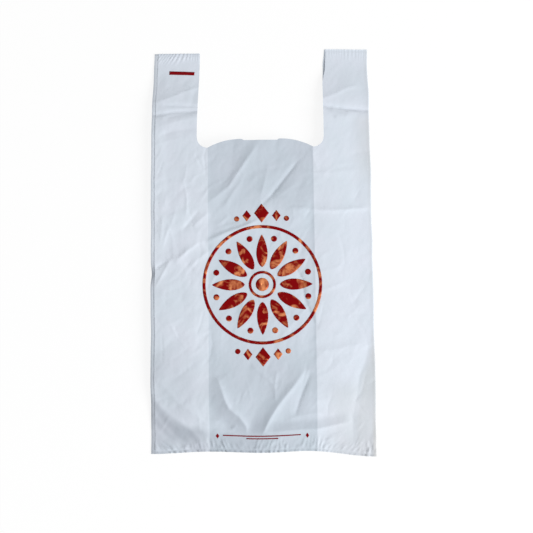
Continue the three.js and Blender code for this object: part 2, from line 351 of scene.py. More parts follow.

# Painted shade in the hollows close to the left of the ridges; that of the right one is weaker higher up,
# and that of the low one lies between the right ridge and the edge.
RIDGE_HEIGHTS = ((14, 26), (55, 90))
RIDGE_WIDTH = 22.0
RIDGE_EDGE = (1.0, 1.0)
HOLLOW_FULL = 0.45
LEFT_RIDGE_SHADE = 0.5
RIGHT_RIDGE_SHADE = 0.9
RIGHT_RIDGE_LOSS = 0.35
RIGHT_RIDGE_RAMP = (30, 50)
LOW_RIDGE_SHADE = 0.4
LOW_RIDGE_WIDTH = 15.0
LOW_RIDGE_EDGE = (-1.0, 5.0)
LOW_RIDGE_END = (88, 100)

# The strip of the left back fold that shows: how much brighter painted light makes it, more so higher up,
# and how much painted shade darkens it where the nip opens it.
STRIP_BRIGHT = 0.35
STRIP_BRIGHTER = 0.3
STRIP_BRIGHTER_RAMP = (200.0, 260.0)
STRIP_PAINT_RAMP = (HALF - 9.0, HALF - 6.0)
NIP_SHADE = 2.2
NIP_SHADE_RAMP = (6.0, 9.0)

# Colours of the film in linear light: where two and four layers lie on each other, the tints of its
# clouds, what the painted shade and the painted grey shade multiply it by, and the light that comes through
# it.
TWO_LAYERS = (0.53, 0.585, 0.65, 1)
FOUR_LAYERS = (0.655, 0.705, 0.775, 1)
CLOUD_TINTS = [(0.3, (0.95, 0.97, 0.97, 1)), (0.7, (1.0, 0.99, 1.0, 1))]
PAINT_TONES = [("shade", (0.73, 0.735, 0.745, 1)), ("grey_shade", (0.90, 0.88, 0.85, 1))]
LIGHT_THROUGH = (0.80, 0.85, 0.90, 1)

# Finish of the film: its gloss, its clouds and crinkles, where its colour changes at the gusset folds,
# and the share of light that comes through.
FILM_FINISH = {"Roughness": 0.6, "Specular IOR Level": 0.12}
CLOUDS = {"Scale": 28.0, "Detail": 3.0}
CRINKLES = {"Scale": 160.0, "Detail": 4.0}
CRINKLE_HEIGHT = {"Strength": 0.4, "Distance": 0.6 * MM}
GUSSET_BORDER = {"From Min": (GUSSET_FOLD - 0.7) * MM, "From Max": (GUSSET_FOLD + 0.3) * MM}
SHARE_THROUGH = 0.5

# Colours of the print in linear light: dark red foil and painted copper glints, and its finish.
FOIL_AND_GLINT_STOPS = [(0.50, (0.20, 0.001, 0.002, 1)), (0.70, (0.74, 0.27, 0.11, 1))]
FOIL_FINISH = {"Metallic": 0.25, "Roughness": 0.35, "Specular IOR Level": 0.05}
FOIL_GLINT_STREAKS = {"Scale": 75.0, "Detail": 5.0, "Distortion": 1.2}
INK_FINISH = {"Base Color": (0.20, 0.002, 0.004, 1), "Roughness": 0.4, "Specular IOR Level": 0.05}

# The print in millimetres. The medallion's places are measured from its centre.
MEDALLION_CENTRE = (0.5, 195.0)
HUB_RADIUS = 7.5
HUB_RING = (12.5, 15.5)
PETAL_COUNT = 12
PETAL_REACH = (20.0, 57.0)
PETAL_WIDTH = 12.5
DOT_CIRCLE = 54.0
DOT_RADIUS = 3.4
OUTER_RING = (64.5, 68.0)
PENDANT_Y = 82.0
PENDANT_SIZE = (17.0, 22.0)
SIDE_PENDANT = (17.0, 79.0)
SIDE_PENDANT_SIZE = (10.0, 13.0)
END_DOT = (28.5, 75.5)
END_DOT_RADIUS = 3.0

# Centres and sizes of the rules, of the lozenges at their ends, and of the bar on the left handle.
RULES = [((-2.0, 18.8), (88.0, 1.3)), ((-1.5, 15.8), (36.0, 1.2))]
RULE_ENDS = [(-52.0, 18.0), (49.5, 18.0)]
RULE_END_SIZE = (4.0, 6.0)
EYE_MARK_CENTRE = (-94.0, 447.5)
EYE_MARK_SIZE = (29.5, 4.4)
EYE_MARK_TILT = math.radians(-2.5)

# The stage in metres, and its light in watts; the world's strength is that of the light on the object.
FLOOR_HALF = 4.0
FLOOR_DROP = 0.0002
FLOOR_FINISH = {"Base Color": (0.95, 0.95, 0.95, 1), "Roughness": 0.9, "Specular IOR Level": 0.1}
FLOOR_GLOW = 0.85
WORLD_COLOUR = (1.0, 1.0, 1.0, 1)
WORLD_STRENGTH = 0.56
KEY_AZIMUTH = math.radians(-26)
KEY_ELEVATION = math.radians(33)
KEY_DISTANCE = 4.5
KEY_SIZE = 2.7
KEY_WATTS = 203.0

# The camera: the point it looks at and its distance in metres, and its lens in millimetres.
CAMERA_AIM = Vector((0.0055, -0.0202, 0.008))
CAMERA_DISTANCE = 0.918
CAMERA_TILT = math.radians(5.35)
CAMERA_ROLL = math.radians(-0.67)
CAMERA_LENS = 54.2
SENSOR_WIDTH = 36.0


def ease(value, start, end):
    """0 before start and 1 after end, smooth between."""
    t = np.clip((value - start) / (end - start), 0.0, 1.0)
    return t * t * (3.0 - 2.0 * t)


def fade(value, start, end):
    """1 before start and 0 after end, smooth between."""
    return 1.0 - ease(value, start, end)


def spring(x, y):
    """How far the layers have sprung apart: 0 at the seals and late in the lower left corner, else 1."""
    late = CORNER_LAG * ease(-x, CORNER_LAG_START, HALF)
    start = SEAL_END + LAG_SHARE_AT_SEAL * late
    from_bottom = ease(y, start, SEAL_END + SPRING_LENGTH + late)
    from_top = fade(y, LENGTH - SEAL_END - TOP_SPRING_LENGTH, LENGTH - SEAL_END)
    return np.minimum(from_bottom, from_top)


def slack(y):
    """How freely the film creases: held flat at the seals, free a little way from them."""
    edge = np.minimum(y, LENGTH - y)
    return ease(edge, SEAL_END, SEAL_END + SLACK_LENGTH)


def fold_height(x, y):
    """Height of a side fold."""
    return PRESSED_FOLD + (FOLD_HEIGHT - PRESSED_FOLD) * spring(x, y)


def bulge(x, y):
    """How far a side fold bulges out beyond the edges of its two layers."""
    return FOLD_BULGE * fold_height(x, y) / 2


def loft(x, y):
    """Height of the front panel before it droops, creases and puckers."""
    return PRESSED_LOFT + (LOFT - PRESSED_LOFT) * spring(x, y)


def mouth_at(x):
    """Height of the punched mouth; beyond the cut, the height where the handles begin."""
    x = np.abs(x)
    arc = np.clip(x - GUSSET_FOLD, 0.0, CORNER)
    corner = CORNER - np.sqrt(np.maximum(CORNER**2 - arc**2, 0.0))
    inward = np.clip((GUSSET_FOLD - x) / (GUSSET_FOLD - TEAR_HALF), 0.0, 1.0)
    crown = MOUTH_CROWN * (1.0 - (1.0 - inward) ** CROWN_POWER)
    tear = TEAR_DROP * fade(x, TEAR_HALF - TEAR_RAMP, TEAR_HALF)
    return MOUTH_LOW + corner + crown - tear


def beside_line(x, y, points):
    """Distance from a bent line, which side of it (left is above 0), and how far along it."""
    nearest = np.full(x.shape, np.inf)
    side = np.zeros(x.shape)
    along = np.zeros(x.shape)
    points = np.array(points, float)
    lengths = np.linalg.norm(np.diff(points, axis=0), axis=1)
    total = lengths.sum()
    before = 0.0
    for a, b, length in zip(points[:-1], points[1:], lengths):
        u = (b - a) / length
        run = np.clip((x - a[0]) * u[0] + (y - a[1]) * u[1], 0.0, length)
        dx = x - a[0] - run * u[0]
        dy = y - a[1] - run * u[1]
        away = np.hypot(dx, dy)
        closer = away < nearest
        nearest = np.where(closer, away, nearest)
        side = np.where(closer, u[0] * dy - u[1] * dx, side)
        along = np.where(closer, (before + run) / total, along)
        before += length
    return nearest, side, along


def crease_at(x, y, points, reach, rise):
    """A sharp-topped fold along a bent line, fading out towards its ends."""
    nearest, side, along = beside_line(x, y, points)
    width = np.where(side > 0, reach[0], reach[1])
    ends = 1.0 - np.abs(2.0 * along - 1.0) ** END_POWER
    away = np.sqrt(nearest**2 + CREST_ROUND) - CREST_CUT
    crest = CREST_SHARE * np.exp(-away / (CREST_REACH * width))
    foot = (1.0 - CREST_SHARE) * np.exp(-away / (FOOT_REACH * width))
    return rise * ends * (crest + foot)


def strewn_creases():
    """Short faint creases at random places, as rows like those of the other creases."""
    random = np.random.default_rng(STREWN_SEED)
    found = []
    for _ in range(STREWN_COUNT):
        middle = np.array([random.uniform(*STREWN_ACROSS), random.uniform(*STREWN_UP)])
        angle = random.normal(STREWN_SLANT, STREWN_SLANT_SPREAD)
        half = random.uniform(*STREWN_HALF_LENGTH) * np.array([math.cos(angle), math.sin(angle)])
        bend = random.normal(0, STREWN_BEND, 2)
        width = random.uniform(*STREWN_REACH)
        rise = random.uniform(*STREWN_RISE) * random.choice([-1, 1])
        found.append(([middle - half, middle + bend, middle + half], (width, width), rise))
    return found


ALL_CREASES = CREASES + strewn_creases()


def noise_at(x, y, size, seed):
    """Smooth random hills and hollows, about one to each cell of the given size."""
    angles = np.random.default_rng(seed).uniform(0.0, 2 * math.pi, (NOISE_CELLS, NOISE_CELLS))
    u = x / size + NOISE_SHIFT
    v = y / size + NOISE_SHIFT
    i = np.floor(u).astype(int)
    j = np.floor(v).astype(int)

    def corner(di, dj):
        angle = angles[(i + di) % NOISE_CELLS, (j + dj) % NOISE_CELLS]
        return np.cos(angle) * (u - i - di) + np.sin(angle) * (v - j - dj)

    across = ease(u - i, 0.0, 1.0)
    upward = ease(v - j, 0.0, 1.0)
    low = corner(0, 0) * (1 - across) + corner(1, 0) * across
    high = corner(0, 1) * (1 - across) + corner(1, 1) * across
    return low * (1 - upward) + high * upward


def crumple_at(x, y):
    """Hills with sharp valleys between them, calmer on the right side of the bag."""
    along = (x * math.cos(CRUMPLE_SLANT) + y * math.sin(CRUMPLE_SLANT)) / CRUMPLE_STRETCH
    across = y * math.cos(CRUMPLE_SLANT) - x * math.sin(CRUMPLE_SLANT)
    z = np.zeros(x.shape)
    for seed, (size, rise) in enumerate(CRUMPLE, CRUMPLE_SEED):
        z += rise * (np.abs(noise_at(along, across, size, seed)) - CRUMPLE_LEVEL)
    return z * (1.0 - CALM_SHARE * ease(x, *CALM_RAMP))


def sway(run, waves):
    """A sum of waves, each with its size, its length and its start."""
    return sum(size * np.sin(run / length + start) for size, length, start in waves)


def pleats(run, pitch):
    """Sharp pleats at an uneven pitch, 1 at their crests and 0 between them."""
    turn = run / pitch + sway(run, PITCH_SWAY)
    return 1.0 - np.abs(np.sin(math.pi * turn))


def swell(run, share):
    """How high the puckers stand, rising and falling along the seal by a share."""
    first, second = SWELL_LENGTHS
    return SWELL_BASE + share * np.sin(run / first + SWELL_START) * np.sin(run / second)


def beside_seal(run, edge, seal, reach):
    """About 1 beside a seal and 0 on it, dying out over an uneven reach; a little more in the skirt."""
    first, second = REACH_LENGTHS
    reach = reach * (REACH_BASE + REACH_SWELL * np.sin(run / first) * np.sin(run / second))
    full = seal + ABOVE_RAMP[1]
    above = ease(edge, seal + ABOVE_RAMP[0], full) * fade(edge, full, reach)
    return above + SKIRT_SHARE * fade(edge, SKIRT_RAMP[0], seal + SKIRT_RAMP[1])


def seal_line(edge, seal):
    """Depth of the fine groove that the sealing bar leaves along its outer side."""
    return SEAL_LINE * np.exp(-((edge - seal + SEAL_LINE_OUT) ** 2))


def gather_bottom(x, edge):
    """Puckers beside the bottom seal, at a distance from the bottom edge."""
    run = x - sway(x, BOTTOM_LEAN) * (edge - BOTTOM_SEAL)
    pucker = PLEAT_BASE + PLEAT_SHARE * pleats(run, GATHER_PITCH)
    for share, size, seed in BLOTCHES:
        pucker = pucker + share * noise_at(run, BLOTCH_STRETCH * edge, size, seed)
    to_right = ease(x, *RIGHT_RAMP)
    rise = GATHER_RISE * (1.0 - RIGHT_LOWER * to_right) * swell(run, BOTTOM_SWELL)
    around = beside_seal(run, edge, BOTTOM_SEAL, GATHER_REACH * (1.0 + RIGHT_LONGER * to_right))
    return rise * np.clip(pucker, 0.0, PLEAT_LIMIT) * around - seal_line(edge, BOTTOM_SEAL)


def gather_top(x, edge):
    """Puckers beside a handle's seal, at a distance from its top edge."""
    run = x - TOP_LEAN * fade(x, *TOP_LEAN_RAMP) * (edge - TOP_SEAL)
    rise = GATHER_RISE * np.where(x > 0, RIGHT_TOP_SHARE, LEFT_TOP_SHARE) * swell(run, TOP_SWELL)
    around = beside_seal(run, edge, TOP_SEAL, TOP_GATHER_REACH)
    return rise * pleats(run, TOP_GATHER_PITCH) * around - seal_line(edge, TOP_SEAL)


def gather_at(x, y):
    """Leaning puckers to either side of the seals, which themselves stay flat."""
    return np.where(y > LENGTH / 2, gather_top(x, LENGTH - y), gather_bottom(x, y))


def middle_at(x):
    """1 between the two gussets and 0 over them."""
    return fade(np.abs(x), GUSSET_FOLD - SINK_RAMP, GUSSET_FOLD)


def front_edge(x, y):
    """Height of the front panel where it lies on the gussets."""
    relief = crumple_at(x, y)
    for points, reach, rise in ALL_CREASES:
        relief += crease_at(x, y, points, reach, rise)
    droop = EDGE_DROOP * ease(np.abs(x), CUT, HALF) + LEFT_DROOP * ease(-x, *LEFT_DROOP_RAMP)
    return loft(x, y) - droop * spring(x, y) + gather_at(x, y) + slack(y) * relief


def front_at(x, y):
    """Height of the front panel, which sinks a little between the gussets."""
    return front_edge(x, y) - SINK * middle_at(x)


def gusset_front(x, y):
    """Underside of the front folds, clear of the puckers; the left one is pressed flatter."""
    pressed = LEFT_PRESS * ease(-x, *LEFT_PRESS_RAMP)
    clear = gather_at(x, y) + SEAL_GAP * (1.0 - spring(x, y))
    return front_edge(x, y) - clear - fold_height(x, y) * (1.0 - pressed)


def fold_top(x, y):
    """Top of the back folds; the left one, which shows, has sprung up against the front fold."""
    low = fold_height(x, y)
    high = gusset_front(x, y) - STRIP_GAP * spring(x, y)
    lip = STRIP_LIP * ease(-x, *STRIP_LIP_RAMP) * spring(x, y)
    return low + ease(-x, *STRIP_RAMP) * (high - low) + lip


def back_at(x, y):
    """Height of the back panel, which lies flat."""
    return 0.0 * x


def hem_at(x, y):
    """How far the bottom edge is drawn up, dying out up the bag."""
    wave = np.sin(2 * math.pi * (x + HALF) / FLAT_WIDTH) ** 2
    skew = ease(HALF - x, 0.0, SKEW_WIDTH)
    return (HEM_WAVE * wave + HEM_SKEW * skew) * fade(y, 0.0, HEM_FADE)


def along_handle(y):
    """0 at the mouth and 1 at the top of the handles."""
    return ease(y, MOUTH_LOW + MOUTH_CROWN, LENGTH)


def nip_at(y):
    """1 at the height of the nip in the left edge, down to 0 above and below it."""
    return np.exp(-(((y - NIP_HEIGHT) / NIP_REACH) ** 2))


def wander_at(x, y):
    """How far the side folds stray from straight lines, each side by a row of noise of its own."""
    stray = noise_at(y, STRAY_ROW * np.sign(x), STRAY_LENGTH, STRAY_SEED)
    nip = EDGE_NIP * nip_at(y) * ease(-x, *NIP_RAMP)
    return FOLD_STRAY * stray * ease(np.abs(x), CUT, HALF) + nip


def steps(start, end, size):
    """Even steps from start to end, of about the given size."""
    return np.linspace(start, end, max(2, round(abs(end - start) / size) + 1))


def chain(*runs):
    """Runs of numbers one after the other, with shared ends kept once."""
    return np.concatenate([runs[0]] + [r[1:] for r in runs[1:]])


# Heights of the mesh's rows, up to the mouth and on to the handles' tops.
BODY_ROWS = chain(steps(0, SEAL_ROWS, SEAL_STEP), steps(SEAL_ROWS, HANDLE_START, ROW_STEP))
ROWS = chain(
    BODY_ROWS,
    steps(HANDLE_START, LENGTH - SEAL_ROWS, ROW_STEP),
    steps(LENGTH - SEAL_ROWS, LENGTH, SEAL_STEP),
)[:, None]


def rows_for(nominal):
    """Heights of all rows in the given columns; those near the mouth bend to follow its edge."""
    blend = ease(ROWS, HANDLE_START - MOUTH_BLEND, HANDLE_START) * (ROWS <= HANDLE_START)
    return ROWS + blend * (mouth_at(nominal)[None, :] - HANDLE_START)


def stretched(nominal, y, left, right):
    """Columns outside the cut stretch to meet the folds, which grow up from the seals."""
    nominal = nominal[None, :]
    size = np.abs(nominal)
    edge = np.where(nominal < 0, -left, right) - bulge(nominal, y)
    outer = CUT + (size - CUT) * (edge - CUT) / (SIDE - CUT)
    return np.sign(nominal) * np.where(size > CUT, outer, size)


def panel(nominal, left, right, height, depth):
    """One layer of the film between a left and a right fold."""
    y = rows_for(nominal)
    x = stretched(nominal, y, left, right)
    return nominal, x, y, height(x, y), np.full(x.shape, depth)


def half_round(high, low, angles):
    """Heights of a half turn between two layers."""
    return (high + low) / 2 + (high - low) / 2 * np.sin(angles)[None, :]


def outer_fold(edge, top_height, low_height, angles, depth):
    """A half turn between a panel and the gusset layer next to it."""
    nominal = np.full(angles.shape, edge)
    y = rows_for(nominal)
    out = math.copysign(1.0, edge) * bulge(edge, y)
    inward = edge - out
    x = inward + out * np.cos(angles)[None, :]
    z = half_round(top_height(inward, y), low_height(inward, y), angles)
    return nominal, x, y, z, np.full(x.shape, depth)


def inner_fold(sign, angles):
    """The tucked-in fold of a gusset, rounded between its two layers."""
    nominal = np.full(angles.shape, sign * TUCK_COLUMN)
    y = rows_for(nominal)
    start = np.full(y.shape, sign * (GUSSET_FOLD + TUCK_ROUND))
    x = start - sign * TUCK_ROUND * np.cos(angles)[None, :]
    z = half_round(gusset_front(start, y), fold_top(start, y), angles)
    return nominal, x, y, z, np.full(x.shape, INNER_FOLD_DEPTH)


def front_columns():
    """Columns of the front panel, from left to right."""
    side = steps(CUT, SIDE, FRONT_STEP)
    return chain(-side[::-1], steps(-CUT, CUT, FRONT_STEP), side)


def back_columns():
    """Columns of the back panel, from right to left."""
    side = chain(steps(SIDE, CUT, BACK_SIDE_STEP), steps(CUT, GUSSET_FOLD, BEND_STEP))
    return chain(side, steps(GUSSET_FOLD, -GUSSET_FOLD, BACK_STEP), -side[::-1])


def film_sheet():
    """The film's surface: rows up the bag, columns once round its section from the left front edge."""
    front_left = FRONT_SETBACK - HALF
    back_right = HALF - BACK_TUCK
    inwards = chain(steps(SIDE, CUT, GUSSET_STEP), steps(CUT, GUSSET_FOLD + TUCK_ROUND, BEND_STEP))
    outwards = inwards[::-1]
    half_turn = np.linspace(math.pi / 2, -math.pi / 2, FOLD_POINTS)
    down = half_turn[:-1]
    up = half_turn[::-1][:-1]
    legs = [
        panel(front_columns()[:-1], front_left, HALF, front_at, FRONT_DEPTH),
        outer_fold(HALF, front_edge, gusset_front, down, FRONT_DEPTH),
        panel(inwards[:-1], front_left, HALF, gusset_front, UPPER_GUSSET_DEPTH),
        inner_fold(1, down),
        panel(outwards[:-1], -HALF, back_right, fold_top, LOWER_GUSSET_DEPTH),
        outer_fold(back_right, fold_top, back_at, down, BACK_DEPTH),
        panel(back_columns()[:-1], -HALF, back_right, back_at, BACK_DEPTH),
        outer_fold(-HALF, fold_top, back_at, up, BACK_DEPTH),
        panel(-inwards[:-1], -HALF, back_right, fold_top, LOWER_GUSSET_DEPTH),
        inner_fold(-1, up),
        panel(-outwards[:-1], front_left, HALF, gusset_front, UPPER_GUSSET_DEPTH),
        outer_fold(front_left, front_edge, gusset_front, up, FRONT_DEPTH),
    ]
    nominal = np.concatenate([leg[0] for leg in legs])
    x, y, z, depth = (np.concatenate([leg[i] for leg in legs], axis=1) for i in (1, 2, 3, 4))
    in_handle = np.abs(nominal) >= CUT - TINY
    return x, y, z + FLOOR_GAP, depth, in_handle


def span(value, rise, fall):
    """1 within a stretch that sets in over rise and dies out over fall, 0 outside it."""
    inside = np.ones(value.shape)
    if rise:
        inside = inside * ease(value, *rise)
    if fall:
        inside = inside * fade(value, *fall)
    return inside


def patch(x, y, strength, across, up):
    """A patch of paint with soft ends."""
    return strength * span(x, *across) * span(y, *up)


def past(x, y, points, before, after):
    """0 on the left of a line, before it, and 1 on the right of it."""
    away, side, _ = beside_line(x, y, points)
    return ease(-np.sign(side) * away, -before, after)


def hollow(x, y, ridge, width):
    """1 close to the left of a ridge's line, down to 0 at a width from it."""
    return (1.0 - past(x, y, ridge, *RIDGE_EDGE)) * past(x, y, ridge, width, -HOLLOW_FULL * width)


def corner_shade(x, y):
    """Blotchy painted shade in the lower left corner, paler in its lowest part."""
    shade = FLAP_SHADE * past(x, y, FLAP_LINE, *FLAP_EDGE)
    shade += CORNER_SHADE * past(x, y, CORNER_LINE, *CORNER_EDGE)
    shade += patch(x, y, *CORNER_PATCH)
    blotch = noise_at(x + BLOTCH_SLANT * y, BLOTCH_SQUEEZE * y, BLOTCH_SIZE, BLOTCH_SEED)
    blotchy = 1.0 + BLOTCH_SHARE * blotch
    paler = 1.0 - PALE_SHARE * past(x, y, PALE_LINE, *PALE_EDGE)
    return shade * fade(x, *CORNER_END) * blotchy * paler


def ridge_shade(x, y):
    """Painted shade in the hollows close to the left of the ridges above the bottom seal."""
    left = LEFT_RIDGE_SHADE * hollow(x, y, LEFT_RIDGE, RIDGE_WIDTH)
    strength = RIGHT_RIDGE_SHADE - RIGHT_RIDGE_LOSS * ease(y, *RIGHT_RIDGE_RAMP)
    right = strength * hollow(x, y, RIGHT_RIDGE, RIDGE_WIDTH)
    low = LOW_RIDGE_SHADE * hollow(x, y, LOW_RIDGE, LOW_RIDGE_WIDTH)
    low *= past(x, y, RIGHT_RIDGE, *LOW_RIDGE_EDGE) * fade(x, *LOW_RIDGE_END)
    return np.maximum.reduce([left, right, low]) * span(y, *RIDGE_HEIGHTS)


def strip_at(x, y, z, depth):
    """Painted light on the strip of the left back fold that shows, below 0 where painted shade darkens the
    nip that opens it.
    """
    bright = STRIP_BRIGHT + STRIP_BRIGHTER * ease(y, *STRIP_BRIGHTER_RAMP)
    dark = NIP_SHADE * nip_at(y) * ease(z, *NIP_SHADE_RAMP)
    return (bright - dark) * (depth >= LOWER_GUSSET_DEPTH) * ease(-x, *STRIP_PAINT_RAMP)


def shade_at(x, y):
    """How much painted shade darkens the film in hollows and along rims, below 0 where painted light makes
    it brighter than plain.
    """
    patches = [patch(x, y, *each) for each in DARK_PATCHES]
    darkest = np.maximum.reduce([corner_shade(x, y), ridge_shade(x, y)] + patches)
    # Patches of painted light make the film brighter than plain.
    brighter = sum(patch(x, y, *each) for each in PAINTED_LIGHT_PATCHES)
    return np.clip(darkest, 0.0, DARKEST) - brighter


def grey_shade_at(x, y):
    """How much painted grey shade darkens the film towards the right edge, most of all low down and along
    its rim.
    """
    lower = past(x, y, EDGE_LINE, *GREY_EDGE) * patch(x, y, *GREY_LOWER)
    fringe = patch(x, y, *GREY_FRINGE)
    rim = patch(x, y, *GREY_RIM) + patch(x, y, *GREY_LOWER_RIM)
    return np.maximum(lower, fringe) + patch(x, y, *GREY_UPPER) + rim


def add_object(name, data):
    """An object with the given data, linked to the scene."""
    added = bpy.data.objects.new(name, data)
    bpy.context.scene.collection.objects.link(added)
    return added


def make_mesh(name, points, faces):
    """A mesh object with smooth faces."""
    mesh = bpy.data.meshes.new(name)
    mesh.from_pydata(points, [], faces)
    mesh.validate()
    for polygon in mesh.polygons:
        polygon.use_smooth = True
    return add_object(name, mesh)


def slipped(x, y, depth):
    """How far a layer's cut edge has slipped: lower layers outwards, the right straps near their top."""
    at_cut = ease(y, *SLIP_RAMP) * fade(np.abs(x), CUT, HALF)
    lower = np.sign(x) * LAYER_OFFSET * depth * spring(x, y)
    top = y - LENGTH
    front = ease(top, *STRAP_SLIP_RAMP) * (1.0 - STRAP_RETURN * ease(top, *STRAP_RETURN_RAMP))
    drawn = STRAP_DRAW_LOW * ease(top, *STRAP_DRAW_LOW_RAMP)
    drawn += STRAP_DRAW_HIGH * ease(top, *STRAP_DRAW_HIGH_RAMP)
    right = STRAP_SLIP * front * (1.0 - depth) + drawn
    return at_cut * (lower + np.where(x > 0, right, 0.0))


def to_row(x, y, z, depth=0.0):
    """Millimetres on the flat bag to metres in the row's frame, settled as the bag lies."""
    swing = np.where(x < 0, along_handle(y), 0.0)
    lifted = np.where(x > 0, along_handle(y) * (1.0 - OUTER_RISE_LOSS * ease(x, CUT, HALF)), 0.0)
    settled_x = x + HANDLE_LEAN * swing + wander_at(x, y) + slipped(x, y, depth)
    settled_y = y + hem_at(x, y) - HANDLE_DROP * swing + HANDLE_RISE * lifted - LENGTH / 2
    return np.stack([settled_x, settled_y, z], axis=-1) * MM


def film_faces(number, in_handle):
    """Quads between rows, all round the section below the mouth and only in the handles above it."""
    rows, count = number.shape
    faces = []
    for row in range(rows - 1):
        in_body = row + 1 < len(BODY_ROWS)
        for i in range(count):
            k = (i + 1) % count
            if in_body or (in_handle[i] and in_handle[k]):
                faces.append((number[row, i], number[row, k], number[row + 1, k], number[row + 1, i]))
    return faces


def build_film():
    """The whole film as one open mesh, with its painted shade and light in two values on the points."""
    x, y, z, depth, in_handle = film_sheet()
    used = np.zeros(x.shape, bool)
    used[:len(BODY_ROWS)] = True
    used[len(BODY_ROWS):, in_handle] = True
    number = np.cumsum(used.ravel()).reshape(x.shape) - 1
    points = to_row(x, y, z, depth)[used]
    film = make_mesh("film", points.tolist(), film_faces(number, in_handle))
    shade = shade_at(x, y) - strip_at(x, y, z, depth)
    for name, values in (("shade", shade), ("grey_shade", grey_shade_at(x, y))):
        film.data.attributes.new(name, "FLOAT", "POINT").data.foreach_set("value", values[used])
    return film


def set_inputs(node, values):
    """Set sockets of a node by their names."""
    for name, value in values.items():
        node.inputs[name].default_value = value


def new_material(name):
    """A material, with its nodes and links at hand."""
    material = bpy.data.materials.new(name)
    material.use_nodes = True
    return material, material.node_tree.nodes, material.node_tree.links


def colour_mix(nodes, blend):
    """A node that mixes two colours."""
    mix = nodes.new("ShaderNodeMix")
    mix.data_type = "RGBA"
    mix.blend_type = blend
    return mix


def noise_node(nodes, links, place, values):
    """Noise that stays with the object."""
    noise = nodes.new("ShaderNodeTexNoise")
    set_inputs(noise, values)
    links.new(place, noise.inputs["Vector"])
    return noise


def set_ramp(ramp, stops):
    """Give a colour ramp its two stops."""
    for element, (position, colour) in zip(ramp.color_ramp.elements, stops):
        element.position = position
        element.color = colour


def blend_shaders(nodes, links, where, share, first, second):
    """Mix a share of the second shader into the first where a value is 1, and none where it is 0."""
    factor = nodes.new("ShaderNodeMath")
    factor.operation = "MULTIPLY"
    factor.inputs[1].default_value = share
    links.new(where, factor.inputs[0])
    mix = nodes.new("ShaderNodeMixShader")
    links.new(factor.outputs[0], mix.inputs["Fac"])
    links.new(first.outputs[0], mix.inputs[1])
    links.new(second.outputs[0], mix.inputs[2])
    links.new(mix.outputs[0], nodes["Material Output"].inputs["Surface"])


def layer_colour(nodes, links, place):
    """Colour by the layers that lie on each other: four over the gussets and two between them."""
    split = nodes.new("ShaderNodeSeparateXYZ")
    links.new(place, split.inputs[0])
    size = nodes.new("ShaderNodeMath")
    size.operation = "ABSOLUTE"
    links.new(split.outputs["X"], size.inputs[0])
    sides = nodes.new("ShaderNodeMapRange")
    set_inputs(sides, GUSSET_BORDER)
    links.new(size.outputs[0], sides.inputs["Value"])
    colour = colour_mix(nodes, "MIX")
    set_inputs(colour, {"A": TWO_LAYERS, "B": FOUR_LAYERS})
    links.new(sides.outputs[0], colour.inputs["Factor"])
    return colour.outputs["Result"]


def clouded(nodes, links, place, colour):
    """The colour with faint clouds in it."""
    cloud = noise_node(nodes, links, place, CLOUDS)
    tint = nodes.new("ShaderNodeValToRGB")
    set_ramp(tint, CLOUD_TINTS)
    links.new(cloud.outputs["Fac"], tint.inputs["Fac"])
    tinted = colour_mix(nodes, "MULTIPLY")
    tinted.inputs["Factor"].default_value = 1.0
    links.new(colour, tinted.inputs["A"])
    links.new(tint.outputs["Color"], tinted.inputs["B"])
    return tinted.outputs["Result"]


def painted(nodes, links, colour, name, tone):
    """The colour darkened or brightened by painted shade or light, held as a value on the mesh."""
    paint = nodes.new("ShaderNodeAttribute")
    paint.attribute_name = name
    toned = colour_mix(nodes, "MULTIPLY")
    toned.clamp_factor = False
    toned.inputs["B"].default_value = tone
    links.new(paint.outputs["Fac"], toned.inputs["Factor"])
    links.new(colour, toned.inputs["A"])
    return toned.outputs["Result"]


def crinkled(nodes, links, place):
    """Fine crinkles of the film's surface."""
    crinkle = noise_node(nodes, links, place, CRINKLES)
    bump = nodes.new("ShaderNodeBump")
    set_inputs(bump, CRINKLE_HEIGHT)
    links.new(crinkle.outputs["Fac"], bump.inputs["Height"])
    return bump.outputs["Normal"]


def film_material():
    """White film: duller where two layers lie on each other, whiter where there are four, toned by painted
    shade and light from values on the mesh.
    """
    material, nodes, links = new_material("white_film")
    shader = nodes["Principled BSDF"]
    set_inputs(shader, FILM_FINISH)
    place = nodes.new("ShaderNodeTexCoord").outputs["Object"]
    colour = clouded(nodes, links, place, layer_colour(nodes, links, place))
    for name, tone in PAINT_TONES:
        colour = painted(nodes, links, colour, name, tone)
    links.new(colour, shader.inputs["Base Color"])
    links.new(crinkled(nodes, links, place), shader.inputs["Normal"])
    let_light_in(nodes, links, shader)
    return material


def let_light_in(nodes, links, shader):
    """The inner side of the film passes on some of the light that falls on the outer side."""
    inner_side = nodes.new("ShaderNodeNewGeometry").outputs["Backfacing"]
    through = nodes.new("ShaderNodeBsdfTranslucent")
    through.inputs["Color"].default_value = LIGHT_THROUGH
    blend_shaders(nodes, links, inner_side, SHARE_THROUGH, shader, through)


def foil_material():
    """Red foil with painted copper glints in streaks."""
    material, nodes, links = new_material("red_foil")
    shader = nodes["Principled BSDF"]
    set_inputs(shader, FOIL_FINISH)
    place = nodes.new("ShaderNodeTexCoord").outputs["Object"]
    glint = noise_node(nodes, links, place, FOIL_GLINT_STREAKS)
    ramp = nodes.new("ShaderNodeValToRGB")
    set_ramp(ramp, FOIL_AND_GLINT_STOPS)
    links.new(glint.outputs["Fac"], ramp.inputs["Fac"])
    links.new(ramp.outputs["Color"], shader.inputs["Base Color"])
    return material


def ink_material():
    """Plain dark red ink."""
    material, nodes, _ = new_material("red_ink")
    set_inputs(nodes["Principled BSDF"], INK_FINISH)
    return material


